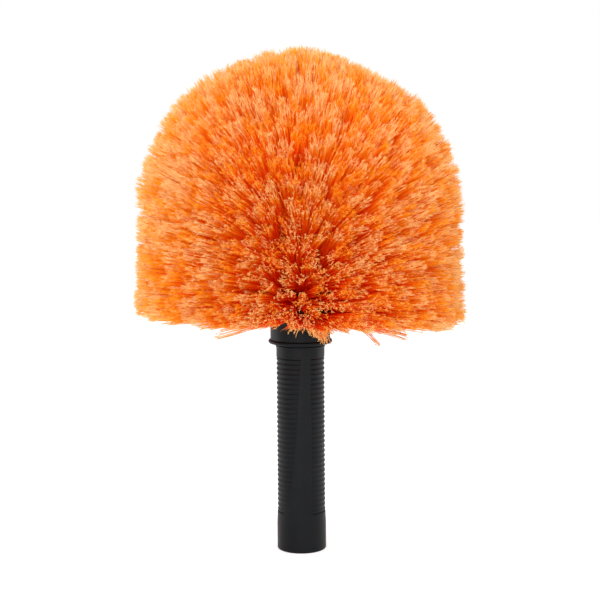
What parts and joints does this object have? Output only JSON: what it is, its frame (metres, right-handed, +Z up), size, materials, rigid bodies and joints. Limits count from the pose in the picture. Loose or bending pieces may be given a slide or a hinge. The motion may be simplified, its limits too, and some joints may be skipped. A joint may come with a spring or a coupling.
{
  "type": "cobweb brush",
  "caption": "Domed cobweb brush head: stiff bristle tufts on a moulded block, with a ribbed screw-in handle whose open end takes a threaded extension pole.",
  "frame": {"origin": "centre of the handle's open lower end", "axes": "+Z runs up the handle through the bristle dome; -Y is the front, where the smooth band on the handle faces"},
  "size_m": [0.189, 0.189, 0.2897],
  "materials": {
    "bristles": "satin",
    "block_plastic": "satin",
    "handle_plastic": "satin",
    "tip_metal": "satin",
    "staple_wire": "satin"
  },
  "bodies": {
    "brush_head": {"brush_block": "block_plastic", "tufts_ring_01": "bristles", "tufts_ring_02": "bristles", "tufts_ring_03": "bristles", "tufts_ring_04": "bristles", "tufts_ring_05": "bristles", "tufts_ring_06": "bristles", "tufts_ring_07": "bristles", "tufts_ring_08": "bristles", "tufts_ring_09": "bristles", "tufts_ring_10": "bristles", "tufts_ring_11": "bristles", "tufts_ring_12": "bristles", "tufts_ring_13": "bristles", "tufts_ring_14": "bristles", "tufts_ring_15": "bristles", "staples_ring_01": "staple_wire", "staples_ring_02": "staple_wire", "staples_ring_03": "staple_wire", "staples_ring_04": "staple_wire", "staples_ring_05": "staple_wire", "staples_ring_06": "staple_wire", "staples_ring_07": "staple_wire", "staples_ring_08": "staple_wire", "staples_ring_09": "staple_wire", "staples_ring_10": "staple_wire", "staples_ring_11": "staple_wire", "staples_ring_12": "staple_wire", "staples_ring_13": "staple_wire", "staples_ring_14": "staple_wire", "staples_ring_15": "staple_wire"},
    "tip_body": {"threaded_tip": "tip_metal"},
    "handle_body": {"grip_handle": "handle_plastic"}
  },
  "joints": [
    {"name": "tip_travel", "type": "slide", "parent": "brush_head", "child": "tip_body", "axis": [0, 0, -1], "range_m": [0, 0.0254]},
    {"name": "handle_turn", "type": "hinge", "parent": "tip_body", "child": "handle_body", "pos_m": [0, 0, 0.12], "axis": [0, 0, -1], "range_deg": [0, 1800]}
  ],
  "couplings": [
    {"joint": "tip_travel", "follows": "handle_turn", "m_per_rad": 0.0008085}
  ]
}
